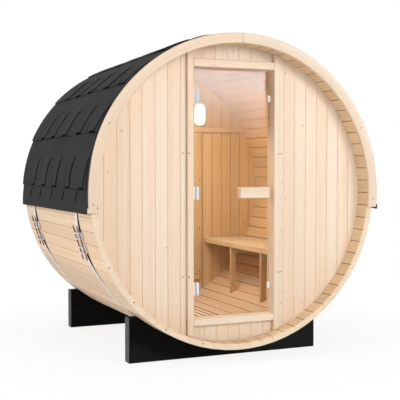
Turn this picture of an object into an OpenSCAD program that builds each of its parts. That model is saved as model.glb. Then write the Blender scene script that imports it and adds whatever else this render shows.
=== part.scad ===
// Barrel sauna: a cylinder of wooden staves on two cradles, with a glass door in its front end.
// Millimetres, +Z up, ground at Z = 0, front towards -Y.

/* [Barrel] */
// Outer width of the barrel across opposite staves
barrel_diameter = 1900; // [1800:10:2100]
// Length of the staves from front to back
stave_length = 1660; // [1500:10:2400]
// Thickness of the staves
stave_thickness = 36; // [32:1:42]
// Number of staves around the barrel
stave_count = 71; // [64:1:78]
// Angle of the first stave from the lowest point
first_stave_angle = 1.2; // [0:0.1:5]
// Bevel along the long edges of a stave
stave_bevel = 2; // [1:0.5:4]
// Radius of the bead on one edge of a stave, and of the cove on the other
bead_radius = 8; // [5:0.5:9]
// Height of the barrel's lowest point over the ground
ground_clearance = 76; // [50:1:120]

/* [Cradles] */
// Length of a cradle across the barrel
cradle_width = 1296; // [1200:1:1400]
// Thickness of a cradle along the barrel
cradle_thickness = 83; // [60:1:110]
// Height of a cradle at its ends
cradle_end_height = 277; // [220:1:310]
// From the front end of the staves to the front cradle
front_cradle_inset = 216; // [150:1:260]
// From the rear end of the staves to the rear cradle
rear_cradle_inset = 61; // [30:1:120]

/* [End walls] */
// From the front end of the staves to the front wall
front_recess = 110; // [80:1:180]
// Thickness of the front wall
front_wall_thickness = 40; // [34:1:48]
// From the rear end of the staves to the rear wall
rear_recess = 42; // [30:1:90]
// Thickness of the rear wall
rear_wall_thickness = 38; // [32:1:48]
// Depth of the groove in the staves that holds the end walls
croze_depth = 8; // [4:1:10]

/* [Doorway] */
// Clear width between the jambs
doorway_width = 552; // [500:1:640]
// From the doorway's top to the highest stave
doorway_top_margin = 141; // [125:1:240]
// From the doorway's bottom to the lowest stave
doorway_bottom_margin = 153; // [135:1:240]
// Width of a jamb
jamb_width = 42; // [36:1:60]
// Depth of the door frame along the barrel
frame_depth = 95; // [90:1:120]
// How far the door frame stands in front of the wall
frame_proud = 20; // [10:1:30]
// Height of the header
header_height = 48; // [36:1:60]
// Height of the sill
sill_height = 43; // [36:1:60]
// How far the boards over the header and under the sill lie behind the wall's face
infill_setback = 10; // [0:1:15]

/* [Door] */
// Thickness of the glass
glass_thickness = 8; // [6:1:10]
// From the front of the door frame to the glass
glass_setback = 60; // [50:1:65]
// Gap around the glass
door_clearance = 5; // [5:0.5:8]
// Length of the handle
handle_length = 206; // [150:1:260]
// Height of the handle
handle_height = 69; // [50:1:90]
// How far the handle stands off the glass
handle_depth = 48; // [30:1:60]
// Bevel on the handle's edges
handle_bevel = 4; // [2:0.5:8]
// From the closing edge of the glass to the handle
handle_inset = 20; // [10:1:60]

/* [Hinges and catches] */
// Height of a hinge
hinge_height = 78; // [60:1:100]
// Width of a clamp plate on the glass
clamp_width = 42; // [36:1:60]
// Thickness of a clamp plate
clamp_thickness = 6; // [4:0.5:8]
// From the doorway's top or bottom to the middle of the nearest hinge
hinge_inset = 176; // [120:1:240]
// Outer radius of a knuckle
knuckle_radius = 5; // [4.5:0.5:6]
// Radius of a hinge pin
pin_radius = 3; // [2:0.5:3]
// Thickness of the leaf on the jamb
leaf_thickness = 2.5; // [2:0.5:3]
// Length of the leaf along the jamb
leaf_length = 38; // [30:1:40]
// Width of a catch plate
catch_width = 15; // [12:1:24]
// Depth of a catch plate
catch_depth = 14; // [8:1:20]
// Height of a catch plate
catch_height = 40; // [30:1:60]

/* [Rear framing] */
// Height of a batten on the rear wall
batten_height = 44; // [36:1:60]
// Thickness of the battens and posts
batten_thickness = 20; // [16:1:28]
// Gap between the upper batten and the lamp over it
top_batten_gap = 7; // [4:1:30]
// Height of the lower batten's middle over the lowest stave
low_batten_height = 206; // [190:1:240]
// Width of a post
post_width = 95; // [70:1:120]
// From the seat's front edge to the post beside it
post_gap = 36; // [20:1:60]

/* [Lamp] */
// Width of the lamp
lamp_width = 87; // [75:1:110]
// Height of the lamp
lamp_height = 176; // [150:1:190]
// Thickness of the lamp's base
lamp_base_thickness = 14; // [8:1:20]
// Depth of the lamp's cover
lamp_cover_depth = 46; // [30:1:60]
// Rounding of the cover's edge
lamp_cover_round = 30; // [10:1:34]
// Angle of the lamp's middle over the horizontal
lamp_angle = 54.3; // [45:0.1:60]
// Distance of the lamp's middle from the staves
lamp_margin = 210; // [170:1:240]

/* [Bench] */
// Height of the seat over the lowest stave
seat_height = 516; // [460:1:560]
// Depth of the seat from its front edge to the staves
seat_depth = 344; // [300:1:400]
// Number of seat slats
seat_slat_count = 4; // [3:1:5]
// Gap between seat slats
seat_slat_gap = 12; // [8:1:20]
// Thickness of a seat slat
seat_slat_thickness = 40; // [28:1:45]
// Thickness of the bearers and legs along the barrel
bench_post_thickness = 22; // [18:1:30]
// Width of a leg across the barrel
bench_leg_width = 38; // [30:1:50]
// Height of a bearer
bench_bearer_height = 45; // [36:1:60]
// From the seat's front edge to the legs
bench_leg_setback = 8; // [0:1:20]
// From the front wall to the first leg
bench_leg_start = 475; // [400:1:550]
// Distance between the legs
bench_leg_spacing = 480; // [400:1:560]

/* [Duckboard] */
// Height of the duckboard's top over the lowest stave
duckboard_height = 64; // [56:1:80]
// Width of a duckboard slat
duckboard_slat_width = 40; // [30:1:50]
// Gap between duckboard slats
duckboard_slat_gap = 9; // [6:1:12]
// Number of duckboard slats
duckboard_slat_count = 8; // [6:1:9]
// Thickness of a duckboard slat
duckboard_slat_thickness = 20; // [16:1:24]
// Width of a duckboard bearer along the barrel
duckboard_bearer_width = 45; // [36:1:60]
// Number of duckboard bearers
duckboard_bearer_count = 3; // [2:1:4]
// From the door frame and the rear wall to the duckboard
duckboard_end_gap = 15; // [5:1:40]

/* [Bands] */
// Width of a steel band
band_width = 45; // [35:1:50]
// Thickness of a steel band
band_thickness = 1; // [0.8:0.1:1.5]
// From the front cradle to the front band
front_band_gap = 1; // [1:1:20]
// From the rear cradle to the rear band
rear_band_gap = 101; // [20:1:140]
// Angle of the upper bracket under the horizontal
upper_bracket_angle = 13.6; // [12.5:0.1:15]
// Angle of the lower bracket under the horizontal
lower_bracket_angle = 21.2; // [19:0.1:24]
// Width of a bracket along the barrel
bracket_width = 112; // [100:1:130]
// Height of a bracket off the band
bracket_height = 26; // [24:1:30]
// Thickness of a bracket
bracket_thickness = 6; // [4:0.5:8]
// Distance between the two rods of a tensioner
rod_spacing = 84; // [76:1:92]
// Radius of a tensioner rod
rod_radius = 4; // [3:0.5:5]
// Length of a rod past each bracket
rod_overhang = 44; // [30:1:50]
// Radius of a nut across its corners
nut_radius = 7.5; // [7:0.5:9]
// Thickness of a nut
nut_thickness = 7; // [5:0.5:8]

/* [Fascia] */
// Width of the fascia
fascia_width = 61; // [55:1:75]
// Thickness of the fascia
fascia_thickness = 22; // [18:1:28]
// Depth of the fascia's lower ends under the axis
fascia_drop = 94; // [60:1:120]

/* [Roof] */
// Angle of the eaves under the horizontal
eave_angle = 6.1; // [5:0.1:7]
// Distance of the eaves from the barrel's axis beyond the staves
eave_reach = 26; // [20:1:30]
// Angle of the starter course that shows
starter_exposure = 8.2; // [7:0.1:10]
// Number of full courses on each side
course_count = 4; // [3:1:5]
// Half the angle that the ridge cap covers
ridge_half_angle = 9.5; // [8:0.1:12]
// Angle by which a course reaches under the next one
headlap = 3.5; // [3:0.1:4.5]
// Thickness of a shingle
shingle_thickness = 3; // [3:0.5:5]
// Step at the lower edge of a course
butt_step = 10; // [8:0.5:14]
// Step at the edge of the ridge cap
ridge_step = 18; // [14:0.5:22]
// Extra height of the ridge cap at its middle
ridge_crown = 4; // [0:0.5:8]

/* [Hidden] */
$fn = 96;
// Facets of circles as wide as the barrel
barrel_fn = 360;
// Gap between pieces that seat on each other
fit = 0.3;
// Running clearance of a hinge pin
pin_play = 0.1;
// Gap between the knuckles of a hinge, and from a knuckle to the leaf behind it
knuckle_play = 0.5;
// Length that carries a cutter past a face
past = 1;
// Angle between the points of a roof course
roof_point_angle = 1.2;
// Angle left free behind the upper edge of a course
lap_play = 0.1;

outer_radius = barrel_diameter / 2;
inner_radius = outer_radius - stave_thickness;
stave_angle = 360 / stave_count;
corner_radius = outer_radius / cos(stave_angle / 2);
croze_radius = inner_radius + croze_depth;
lining_radius = inner_radius - fit;
axis_height = ground_clearance + outer_radius;
front_y = (fascia_thickness - stave_length) / 2;

front_wall_back = front_recess + front_wall_thickness;
rear_wall_face = stave_length - rear_recess - rear_wall_thickness;
frame_front = front_recess - frame_proud;
frame_back = frame_front + frame_depth;
jamb_inner = doorway_width / 2;
jamb_outer = jamb_inner + jamb_width;
doorway_rise = inner_radius - doorway_top_margin;
doorway_drop = inner_radius - doorway_bottom_margin;

glass_front = frame_front + glass_setback;
glass_back = glass_front + glass_thickness;
glass_width = doorway_width - 2 * door_clearance;
glass_top = doorway_rise - door_clearance;
glass_bottom = -doorway_drop + door_clearance;
glass_middle = (glass_top + glass_bottom) / 2;
hinge_heights = [-doorway_drop + hinge_inset, glass_middle, doorway_rise - hinge_inset];
clamp_front = glass_front - fit - clamp_thickness;
pivot_x = -jamb_inner + leaf_thickness + knuckle_radius + knuckle_play;
pivot_y = clamp_front - knuckle_play;
clamp_start = pivot_x + knuckle_radius + 4 * knuckle_play;
knuckle_third = hinge_height / 3;
catch_heights = [hinge_heights[0], hinge_heights[2]];

seat_drop = inner_radius - seat_height;
seat_under = seat_drop + seat_slat_thickness;
seat_back_x = chord(inner_radius, seat_under) - fit;
seat_front_x = seat_back_x - seat_depth;
seat_slat_width = (seat_depth + seat_slat_gap) / seat_slat_count - seat_slat_gap;
bench_leg_x = seat_front_x + bench_leg_setback;
bench_stations = [for (i = [0, 1]) front_wall_back + bench_leg_start + i * bench_leg_spacing];

lamp_offset = (inner_radius - lamp_margin) * cos(lamp_angle);
lamp_rise = (inner_radius - lamp_margin) * sin(lamp_angle);
top_batten_rise = lamp_rise - (lamp_height + batten_height) / 2 - top_batten_gap;
low_batten_drop = inner_radius - low_batten_height;
post_reach = seat_front_x - post_gap;

duckboard_top = duckboard_height - inner_radius;
duckboard_under = duckboard_top - duckboard_slat_thickness;
duckboard_pitch = duckboard_slat_width + duckboard_slat_gap;
duckboard_half = (duckboard_slat_count * duckboard_pitch - duckboard_slat_gap) / 2;
duckboard_start = frame_back + duckboard_end_gap;
duckboard_length = rear_wall_face - batten_thickness - duckboard_end_gap - duckboard_start;

band_inner = corner_radius + fit;
band_outer = band_inner + band_thickness;
rear_cradle_start = stave_length - rear_cradle_inset - cradle_thickness;
front_band_start = front_cradle_inset + cradle_thickness + front_band_gap;
rear_band_start = rear_cradle_start - rear_band_gap - band_width;
bracket_angles = [upper_bracket_angle, lower_bracket_angle];
bracket_middle = (upper_bracket_angle + lower_bracket_angle) / 2;
bracket_spread = (lower_bracket_angle - upper_bracket_angle) / 2;
rod_reach = band_outer + bracket_height / 2;
rod_span = rod_reach * tan(bracket_spread);
rod_half = rod_span + rod_overhang;

roof_radius = band_outer + fit;
roof_top_radius = roof_radius + shingle_thickness;
eave_radius = outer_radius + eave_reach;
ridge_edge = 90 - ridge_half_angle;
course_exposure = (ridge_edge + eave_angle - starter_exposure) / course_count;

pale_wood = "#f0dbbe";
tan_wood = "#dbaf82";
golden_wood = "#c08a4e";
black_paint = "#1d1d1f";
charcoal = "#3e3c3d";
steel = "#c4c6c8";
white = "#f2f2ef";
glass_tint = [0.86, 0.9, 0.9, 0.35];

// Half the chord of a circle at a given distance from its centre
function chord(radius, offset) = sqrt(radius * radius - offset * offset);

// Points of an arc whose radius runs evenly from one value to another
function spiral(radius_a, radius_b, angle_a, angle_b) =
    let (steps = ceil(abs(angle_b - angle_a) / roof_point_angle))
    [for (i = [0 : steps])
        let (share = i / steps)
        let (radius = radius_a + (radius_b - radius_a) * share)
        let (angle = angle_a + (angle_b - angle_a) * share)
        radius * [cos(angle), sin(angle)]];

// Angles at which a roof course starts and at which it ends under the next one
function course_low(i) = i == 0 ? -eave_angle : starter_exposure - eave_angle + (i - 1) * course_exposure;
function course_top(i) = course_low(i + 1) + headlap;
// Outer radius of a roof course at its lower edge and at any angle
function course_butt(i) = i == 0 ? eave_radius : course_outer(i - 1, course_low(i)) + butt_step;
function course_outer(i, angle) =
    course_butt(i)
    + (roof_top_radius - course_butt(i)) * (angle - course_low(i)) / (course_top(i) - course_low(i));

// The barrel's frame: X to the right, Y back from the staves' front ends, Z up from the axis
module barrel_frame() {
    translate([0, front_y, axis_height]) children();
}

// Draws a flat outline, given as X and Z, along the barrel
module along_barrel(start, length) {
    translate([0, start + length, 0]) rotate([90, 0, 0]) linear_extrude(length) children();
}

// Upright block from its low corner to its high corner
module block(low, high) {
    translate(low) cube(high - low);
}

// Part of its child that lies inside the staves
module inside_staves(radius) {
    intersection() {
        children();
        along_barrel(0, stave_length) circle(r = radius, $fn = barrel_fn);
    }
}

// Section of one stave at the lowest point of the barrel
module stave_section() {
    half = tan(stave_angle / 2);
    gap = fit / 2 / cos(stave_angle / 2);
    middle = outer_radius - stave_thickness / 2;
    side = [
        [inner_radius * half - gap - stave_bevel, -inner_radius],
        [(inner_radius + stave_bevel) * half - gap, -inner_radius - stave_bevel],
        [(outer_radius - stave_bevel) * half - gap, -outer_radius + stave_bevel],
        [outer_radius * half - gap - stave_bevel, -outer_radius]
    ];
    mirrored = [for (i = [len(side) - 1 : -1 : 0]) [-side[i][0], side[i][1]]];
    difference() {
        union() {
            polygon(concat(side, mirrored));
            translate([middle * half - gap, -middle]) circle(r = bead_radius, $fn = 32);
        }
        translate([-middle * half - gap, -middle]) circle(r = bead_radius + fit, $fn = 32);
    }
}

// Space of an end wall's edge, which cuts its groove in the staves
module croze(start, thickness) {
    along_barrel(start - fit, thickness + 2 * fit) circle(r = croze_radius, $fn = barrel_fn);
}

// Staves of one eighth of the barrel, with the grooves that hold the end walls
module stave_sector(sector) {
    first = round((sector - 0.5) * stave_count / 8);
    last = round((sector + 0.5) * stave_count / 8) - 1;
    color(tan_wood) barrel_frame() difference() {
        for (i = [first : last]) {
            along_barrel(0, stave_length) rotate(first_stave_angle + i * stave_angle) stave_section();
        }
        croze(front_recess, front_wall_thickness);
        croze(rear_wall_face, rear_wall_thickness);
    }
}

module staves_floor() { stave_sector(0); }
module staves_low_right() { stave_sector(1); }
module staves_right() { stave_sector(2); }
module staves_high_right() { stave_sector(3); }
module staves_crown() { stave_sector(4); }
module staves_high_left() { stave_sector(5); }
module staves_left() { stave_sector(6); }
module staves_low_left() { stave_sector(7); }

// Timber cradle with a saddle for the barrel
module cradle(start) {
    color(black_paint) barrel_frame() along_barrel(start, cradle_thickness) difference() {
        translate([-cradle_width / 2, -axis_height]) square([cradle_width, cradle_end_height]);
        circle(r = corner_radius + fit, $fn = barrel_fn);
    }
}

module front_cradle() { cradle(front_cradle_inset); }
module rear_cradle() { cradle(rear_cradle_start); }

// Boarded part of the front wall beside the doorway, on the +X side
module front_wall_side() {
    color(pale_wood) barrel_frame() along_barrel(front_recess, front_wall_thickness) intersection() {
        circle(r = croze_radius - fit, $fn = barrel_fn);
        translate([jamb_outer + fit, -outer_radius]) square([outer_radius, barrel_diameter]);
    }
}

module front_wall_right() { front_wall_side(); }
module front_wall_left() { mirror([1, 0, 0]) front_wall_side(); }

// Boards between the jambs, over the header or under the sill
module front_infill(low, high) {
    start = front_recess + infill_setback;
    color(pale_wood) barrel_frame() along_barrel(start, front_wall_back - start) intersection() {
        circle(r = croze_radius - fit, $fn = barrel_fn);
        translate([-jamb_inner + fit, low]) square([doorway_width - 2 * fit, high - low]);
    }
}

module front_wall_top() { front_infill(doorway_rise + header_height + fit, outer_radius); }
module front_wall_bottom() { front_infill(-outer_radius, -doorway_drop - sill_height - fit); }

// Jamb on the +X side of the doorway
module jamb() {
    color(pale_wood) barrel_frame() inside_staves(lining_radius) {
        block([jamb_inner, frame_front, -outer_radius], [jamb_outer, frame_back, outer_radius]);
    }
}

module right_jamb() { jamb(); }
module left_jamb() { mirror([1, 0, 0]) jamb(); }

// Cross piece of the door frame between the jambs
module frame_rail(low, high) {
    reach = jamb_inner - fit;
    color(pale_wood) barrel_frame() block([-reach, frame_front, low], [reach, frame_back, high]);
}

module door_header() { frame_rail(doorway_rise, doorway_rise + header_height); }
module door_sill() { frame_rail(-doorway_drop - sill_height, -doorway_drop); }

module rear_wall() {
    color(golden_wood) barrel_frame() along_barrel(rear_wall_face, rear_wall_thickness) {
        circle(r = croze_radius - fit, $fn = barrel_fn);
    }
}

// Board that lies on the inside of the rear wall
module rear_board(low_x, low_z, high_x, high_z) {
    back = rear_wall_face - fit;
    color(golden_wood) barrel_frame() inside_staves(lining_radius) {
        block([low_x, back - batten_thickness, low_z], [high_x, back, high_z]);
    }
}

module rear_batten(middle, reach) {
    rear_board(-reach, middle - batten_height / 2, reach, middle + batten_height / 2);
}

module rear_top_batten() { rear_batten(top_batten_rise, outer_radius); }
module rear_low_batten() { rear_batten(-low_batten_drop, post_reach); }

module rear_posts() {
    low = -low_batten_drop + batten_height / 2 + fit;
    high = top_batten_rise - batten_height / 2 - fit;
    rear_board(post_reach - post_width, low, post_reach, high);
    rear_board(-post_reach, low, -post_reach + post_width, high);
}

// Outline of the lamp, with round ends
module lamp_outline(radius) {
    straight = lamp_height - lamp_width;
    for (end = [-1, 1]) {
        translate([0, end * straight / 2]) circle(r = radius);
    }
    square([2 * radius, straight], center = true);
}

// Half section of the lamp's cover, with its front edge rounded
module cover_section() {
    radius = lamp_width / 2;
    square([radius - lamp_cover_round, lamp_cover_depth]);
    square([radius, lamp_cover_depth - lamp_cover_round]);
    translate([radius - lamp_cover_round, lamp_cover_depth - lamp_cover_round]) intersection() {
        circle(r = lamp_cover_round);
        square(lamp_cover_round);
    }
}

// Places its child on the rear wall, facing the door
module on_lamp(depth) {
    barrel_frame() translate([lamp_offset, rear_wall_face - fit - depth, lamp_rise]) {
        rotate([90, 0, 0]) children();
    }
}

module lamp_base() {
    color(white) on_lamp(0) linear_extrude(lamp_base_thickness) lamp_outline(lamp_width / 2);
}

module lamp_cover() {
    straight = lamp_height - lamp_width;
    color(white) on_lamp(lamp_base_thickness + fit) {
        for (end = [-1, 1]) {
            translate([0, end * straight / 2, 0]) rotate_extrude() cover_section();
        }
        translate([0, straight / 2, 0]) rotate([90, 0, 0]) linear_extrude(straight) {
            cover_section();
            mirror([1, 0]) cover_section();
        }
    }
}

module door_glass() {
    reach = glass_width / 2;
    color(glass_tint) barrel_frame() {
        block([-reach, glass_front, glass_bottom], [reach, glass_back, glass_top]);
    }
}

// Wooden block with bevelled edges, gripped from above and below
module door_handle() {
    right = glass_width / 2 - handle_inset;
    half = handle_height / 2;
    deep = handle_depth - fit;
    section = [
        [0, -half],
        [deep - handle_bevel, -half],
        [deep, -half + handle_bevel],
        [deep, half - handle_bevel],
        [deep - handle_bevel, half],
        [0, half]
    ];
    color(pale_wood) barrel_frame() translate([right - handle_length, glass_front - fit, glass_middle]) {
        rotate([90, 0, 90]) mirror([1, 0, 0]) linear_extrude(handle_length) polygon(section);
    }
}

// Draws its child at the pivot of each hinge
module at_hinges() {
    barrel_frame() {
        for (height = hinge_heights) {
            translate([pivot_x, pivot_y, height]) children();
        }
    }
}

// Glass clamps: a front plate with the middle knuckle, and a rear plate
module hinge_plates() {
    plate_x = clamp_start - pivot_x;
    half = hinge_height / 2;
    tongue = knuckle_third / 2 - knuckle_play;
    front = clamp_front - pivot_y;
    rear = glass_back + fit - pivot_y;
    color(steel) at_hinges() {
        difference() {
            union() {
                block([plate_x, front, -half], [plate_x + clamp_width, front + clamp_thickness, half]);
                block([0, front, -tongue], [plate_x + past, knuckle_radius - knuckle_play, tongue]);
                translate([0, 0, -tongue]) cylinder(r = knuckle_radius, h = 2 * tongue);
            }
            translate([0, 0, -half]) cylinder(r = pin_radius + pin_play, h = hinge_height);
        }
        block([plate_x, rear, -half], [plate_x + clamp_width, rear + clamp_thickness, half]);
    }
}

// Leaves on the left jamb, each with two knuckles and the pin
module hinge_brackets() {
    half = hinge_height / 2;
    leaf_x = -jamb_inner + fit - pivot_x;
    leaf_face = leaf_x + leaf_thickness - fit;
    color(steel) at_hinges() {
        block([leaf_x, knuckle_radius - leaf_length, -half], [leaf_face, knuckle_radius, half]);
        for (low = [-half, knuckle_third / 2]) {
            translate([0, 0, low]) cylinder(r = knuckle_radius, h = half - knuckle_third / 2);
            block([leaf_face - past, -knuckle_radius, low], [0, 0, low + half - knuckle_third / 2]);
        }
        translate([0, 0, -half]) cylinder(r = pin_radius, h = hinge_height);
    }
}

// Catch plates on the front of the glass, at its closing edge
module door_catches() {
    edge = glass_width / 2;
    back = glass_front - fit;
    half = catch_height / 2;
    color(white) barrel_frame() {
        for (height = catch_heights) {
            block([edge - catch_width, back - catch_depth, height - half], [edge, back, height + half]);
        }
    }
}

module bench_slats() {
    start = front_wall_back + fit;
    color(golden_wood) barrel_frame() {
        for (i = [0 : seat_slat_count - 1]) {
            left = seat_front_x + i * (seat_slat_width + seat_slat_gap);
            block([left, start, -seat_under], [left + seat_slat_width, rear_wall_face - fit, -seat_drop]);
        }
    }
}

// Blocks behind the legs' front line, cut to the staves, at each pair of bearer and leg
module bench_blocks(low, high, width) {
    color(golden_wood) barrel_frame() inside_staves(lining_radius) {
        for (station = bench_stations) {
            block([bench_leg_x, station, low], [bench_leg_x + width, station + bench_post_thickness, high]);
        }
    }
}

module bench_bearers() {
    bench_blocks(-seat_under - fit - bench_bearer_height, -seat_under - fit, outer_radius);
}

module bench_legs() {
    bench_blocks(-outer_radius, -seat_under - 2 * fit - bench_bearer_height, bench_leg_width);
}

module duckboard_slats() {
    color(tan_wood) barrel_frame() {
        for (i = [0 : duckboard_slat_count - 1]) {
            left = i * duckboard_pitch - duckboard_half;
            block(
                [left, duckboard_start, duckboard_under],
                [left + duckboard_slat_width, duckboard_start + duckboard_length, duckboard_top]
            );
        }
    }
}

// Cross bearers under the duckboard, rounded to the staves
module duckboard_bearers() {
    reach = duckboard_half - duckboard_slat_width / 2;
    pitch = (duckboard_length - duckboard_bearer_width) / (duckboard_bearer_count - 1);
    color(tan_wood) barrel_frame() inside_staves(lining_radius) {
        for (i = [0 : duckboard_bearer_count - 1]) {
            start = duckboard_start + i * pitch;
            block(
                [-reach, start, -outer_radius],
                [reach, start + duckboard_bearer_width, duckboard_under - fit]
            );
        }
    }
}

// Sector of a ring, as the polygon that bounds it, from one angle to another
module sector_mask(radius, from, to) {
    middle = (from + to) / 2;
    angles = [from, (from + middle) / 2, middle, (middle + to) / 2, to];
    polygon(concat([[0, 0]], [for (angle = angles) 2 * radius * [cos(angle), sin(angle)]]));
}

// Steel band in two lengths, each ending at the tensioner brackets on both sides
module band(start) {
    color(steel) barrel_frame() along_barrel(start, band_width) {
        for (part = [[-upper_bracket_angle, 180 + upper_bracket_angle],
                     [180 + lower_bracket_angle, 360 - lower_bracket_angle]]) {
            intersection() {
                difference() {
                    circle(r = band_outer, $fn = barrel_fn);
                    circle(r = band_inner, $fn = barrel_fn);
                }
                sector_mask(band_outer, part[0], part[1]);
            }
        }
    }
}

module front_band() { band(front_band_start); }
module rear_band() { band(rear_band_start); }

// Draws its child at an angle under the horizontal on both sides of both bands, with X pointing outward
module at_tensioners(angle) {
    barrel_frame() {
        for (start = [front_band_start, rear_band_start], side = [0, 1]) {
            mirror([side, 0, 0]) translate([0, start + band_width / 2, 0]) rotate([0, angle, 0]) children();
        }
    }
}

module tensioner_brackets() {
    half = bracket_width / 2;
    low = band_outer + fit;
    color(steel) {
        for (angle = bracket_angles) {
            at_tensioners(angle) difference() {
                block(
                    [low, -half, -bracket_thickness / 2],
                    [low + bracket_height, half, bracket_thickness / 2]
                );
                for (end = [-1, 1]) {
                    translate([rod_reach / cos(bracket_spread), end * rod_spacing / 2, 0])
                        rotate([0, bracket_middle - angle, 0])
                            cylinder(r = rod_radius + fit, h = bracket_height, center = true, $fn = 32);
                }
            }
        }
    }
}

// Rods through both brackets, each with a nut at its ends
module tensioner_rods() {
    nut_gap = bracket_thickness / 2 + 2 * fit;
    color(steel) at_tensioners(bracket_middle) {
        for (end = [-1, 1]) {
            translate([rod_reach, end * rod_spacing / 2, 0]) {
                cylinder(r = rod_radius, h = 2 * rod_half, center = true, $fn = 32);
                for (side = [0, 1]) {
                    mirror([0, 0, side]) translate([0, 0, rod_span + nut_gap])
                        cylinder(r = nut_radius, h = nut_thickness, $fn = 6);
                }
            }
        }
    }
}

// Half of the fascia over the front ends of the staves, on the +X side
module fascia_half() {
    color(pale_wood) barrel_frame() along_barrel(-fascia_thickness, fascia_thickness - fit) intersection() {
        difference() {
            circle(r = inner_radius + fascia_width, $fn = barrel_fn);
            circle(r = inner_radius, $fn = barrel_fn);
        }
        translate([fit / 2, -fascia_drop]) square([barrel_diameter, barrel_diameter]);
    }
}

module fascia_right() { fascia_half(); }
module fascia_left() { mirror([1, 0, 0]) fascia_half(); }

// Roof pieces run from the fascia to the rear ends of the staves
module roof_run() {
    color(charcoal) barrel_frame() along_barrel(fit, stave_length - fit) children();
}

// Section of the course at the eaves, which stands clear of the staves at its lower edge
module starter_section() {
    outer = spiral(eave_radius, roof_top_radius, course_low(0), course_top(0));
    inner = spiral(roof_radius, eave_radius - shingle_thickness, course_top(0), course_low(0));
    polygon(concat(outer, inner));
}

// Section of a full course, which lies on the one below and then on the staves
module course_section(i) {
    lap = course_top(i - 1);
    clear = lap + lap_play;
    outer = spiral(course_butt(i), roof_top_radius, course_low(i), course_top(i));
    bed = spiral(roof_radius, roof_radius, course_top(i), clear);
    over = spiral(roof_top_radius + fit, course_butt(i) - butt_step + fit, clear, course_low(i));
    polygon(concat(outer, bed, over));
}

// Courses of the +X side
module roof_side() {
    roof_run() {
        starter_section();
        for (i = [1 : course_count]) {
            course_section(i);
        }
    }
}

module shingles_right() { roof_side(); }
module shingles_left() { mirror([1, 0, 0]) roof_side(); }

// Cap over the upper ends of both top courses
module ridge_cap() {
    low = course_outer(course_count, ridge_edge);
    clear = course_top(course_count) + lap_play;
    outer = spiral(low + ridge_step, low + ridge_step + ridge_crown, ridge_edge, 90);
    bed = spiral(roof_radius, roof_radius, 90, clear);
    over = spiral(roof_top_radius + fit, low + fit, clear, ridge_edge);
    under = concat(bed, over);
    far_outer = [for (i = [len(outer) - 2 : -1 : 0]) [-outer[i][0], outer[i][1]]];
    far_under = [for (i = [len(under) - 1 : -1 : 1]) [-under[i][0], under[i][1]]];
    roof_run() polygon(concat(outer, far_outer, far_under, under));
}

front_cradle();
rear_cradle();
staves_floor();
staves_low_right();
staves_right();
staves_high_right();
staves_crown();
staves_high_left();
staves_left();
staves_low_left();
front_wall_left();
front_wall_right();
front_wall_top();
front_wall_bottom();
left_jamb();
right_jamb();
door_header();
door_sill();
rear_wall();
rear_top_batten();
rear_low_batten();
rear_posts();
lamp_base();
lamp_cover();
door_glass();
door_handle();
hinge_plates();
hinge_brackets();
door_catches();
bench_slats();
bench_bearers();
bench_legs();
duckboard_slats();
duckboard_bearers();
front_band();
rear_band();
tensioner_brackets();
tensioner_rods();
fascia_left();
fascia_right();
shingles_left();
shingles_right();
ridge_cap();
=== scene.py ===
"""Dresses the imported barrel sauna: boards, shingles, hardware, materials, light and camera."""
import random
from itertools import product
from math import asin, atan2, ceil, cos, degrees, radians, sin, sqrt, tan, tau

import bmesh
import bpy
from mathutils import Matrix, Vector


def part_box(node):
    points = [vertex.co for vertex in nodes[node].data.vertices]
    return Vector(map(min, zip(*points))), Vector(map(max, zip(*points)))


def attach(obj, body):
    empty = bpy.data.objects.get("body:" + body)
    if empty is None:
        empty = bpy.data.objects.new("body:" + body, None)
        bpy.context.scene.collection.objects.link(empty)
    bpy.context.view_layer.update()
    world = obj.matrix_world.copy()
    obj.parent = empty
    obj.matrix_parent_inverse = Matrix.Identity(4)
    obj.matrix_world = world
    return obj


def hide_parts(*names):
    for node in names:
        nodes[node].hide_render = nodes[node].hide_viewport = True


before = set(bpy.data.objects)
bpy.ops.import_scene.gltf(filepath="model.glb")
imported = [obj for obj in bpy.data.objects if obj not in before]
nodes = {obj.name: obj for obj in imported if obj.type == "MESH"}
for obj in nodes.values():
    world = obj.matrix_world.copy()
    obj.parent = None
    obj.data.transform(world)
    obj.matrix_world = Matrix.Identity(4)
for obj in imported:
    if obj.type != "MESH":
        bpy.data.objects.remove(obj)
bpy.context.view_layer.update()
rng = random.Random(71)

# The barrel's own frame: X to the right, Y back from the staves' front ends, Z up from the axis.
# Lengths are in metres, angles in degrees, and the staves' turns in radians.
AXIS_HEIGHT = 1.026
ORIGIN = Vector((0.0, -0.819, AXIS_HEIGHT))
FORWARD, BACKWARD = (0, -1, 0), (0, 1, 0)
FIT = 0.0003

# Staves, with the radius of their groove's floor
STAVE_LENGTH = 1.66
STAVE_INNER, STAVE_OUTER = 0.914, 0.95
STAVE_COUNT = 71
STAVE_PHASE = radians(1.2)
STAVE_TURN = tau / STAVE_COUNT
STAVE_PITCH = STAVE_TURN * STAVE_OUTER
JOINT_HALF = 0.0023
CROZE = 0.9217

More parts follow.
